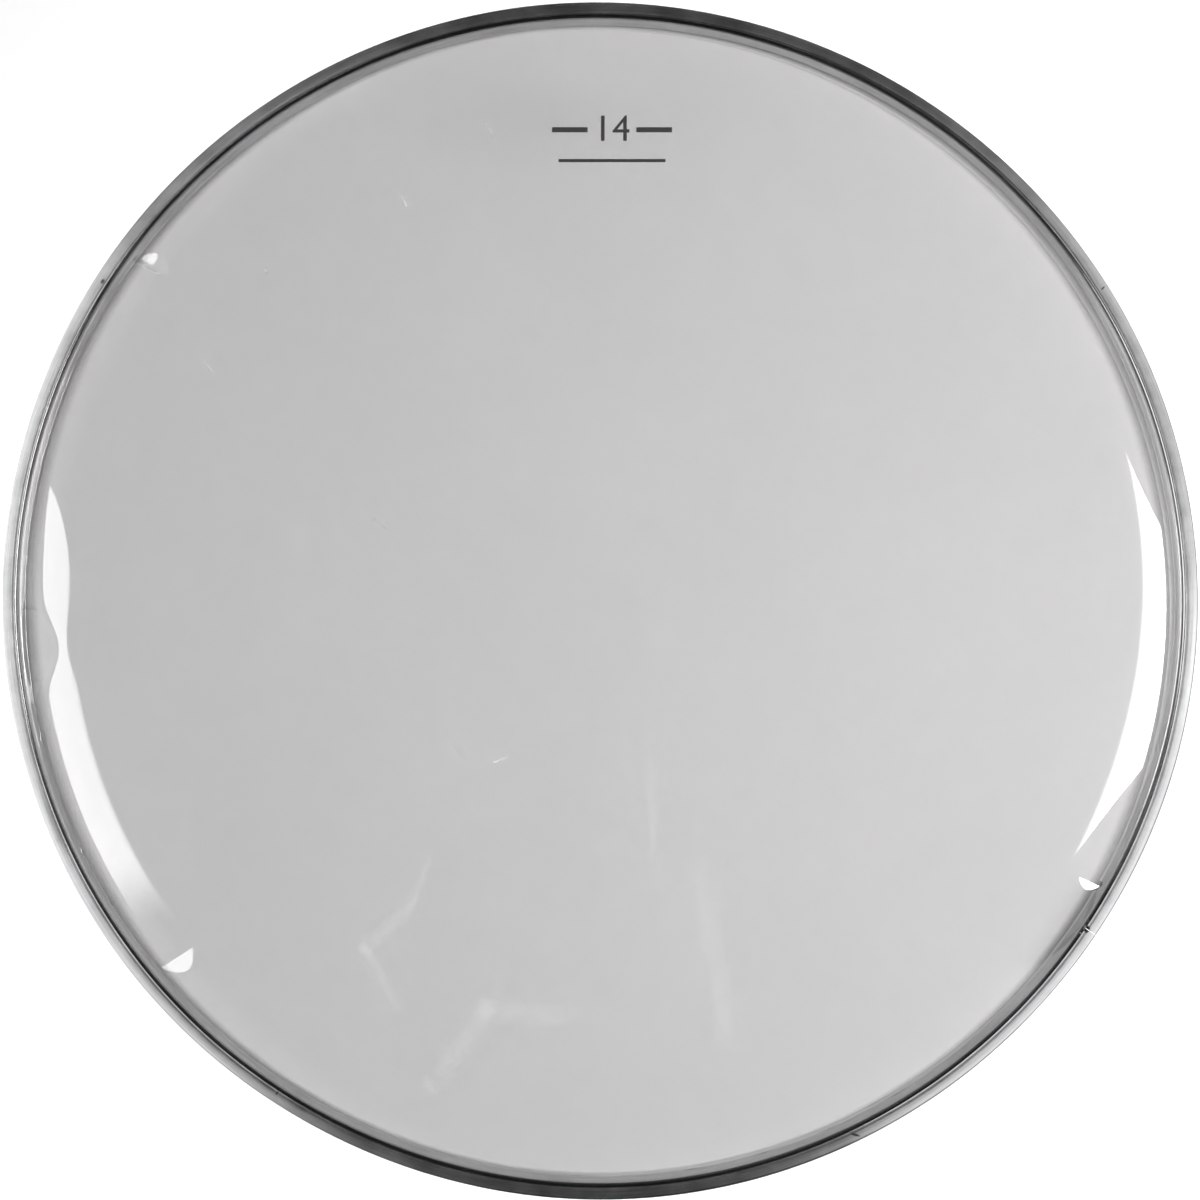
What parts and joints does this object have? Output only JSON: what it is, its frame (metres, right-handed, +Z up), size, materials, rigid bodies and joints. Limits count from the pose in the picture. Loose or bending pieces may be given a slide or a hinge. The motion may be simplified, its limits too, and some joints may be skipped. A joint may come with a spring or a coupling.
{
  "type": "drum head",
  "caption": "Round drum head: a thin clear film with a sloped collar, bonded with resin into a grooved aluminium hoop that slips over a drum shell and is pulled down by a rim.",
  "frame": {"origin": "centre of the hoop's underside", "axes": "+Z up through the film along the axis of the head; +X to the right and +Y to the top of the picture"},
  "size_m": [0.371, 0.371, 0.0216],
  "materials": {
    "hoop_aluminium": "bright mill finish with fine rolling lines along the bar",
    "slug_aluminium": "plain sawn bar",
    "clear_film": "glossy clear polyester film with a slight haze",
    "cast_resin": "cast resin, glossy where it dried free"
  },
  "bodies": {
    "root": {"hoop": "hoop_aluminium", "joint_slug": "slug_aluminium", "membrane": "clear_film", "bonding_resin": "cast_resin"}
  },
  "joints": []
}
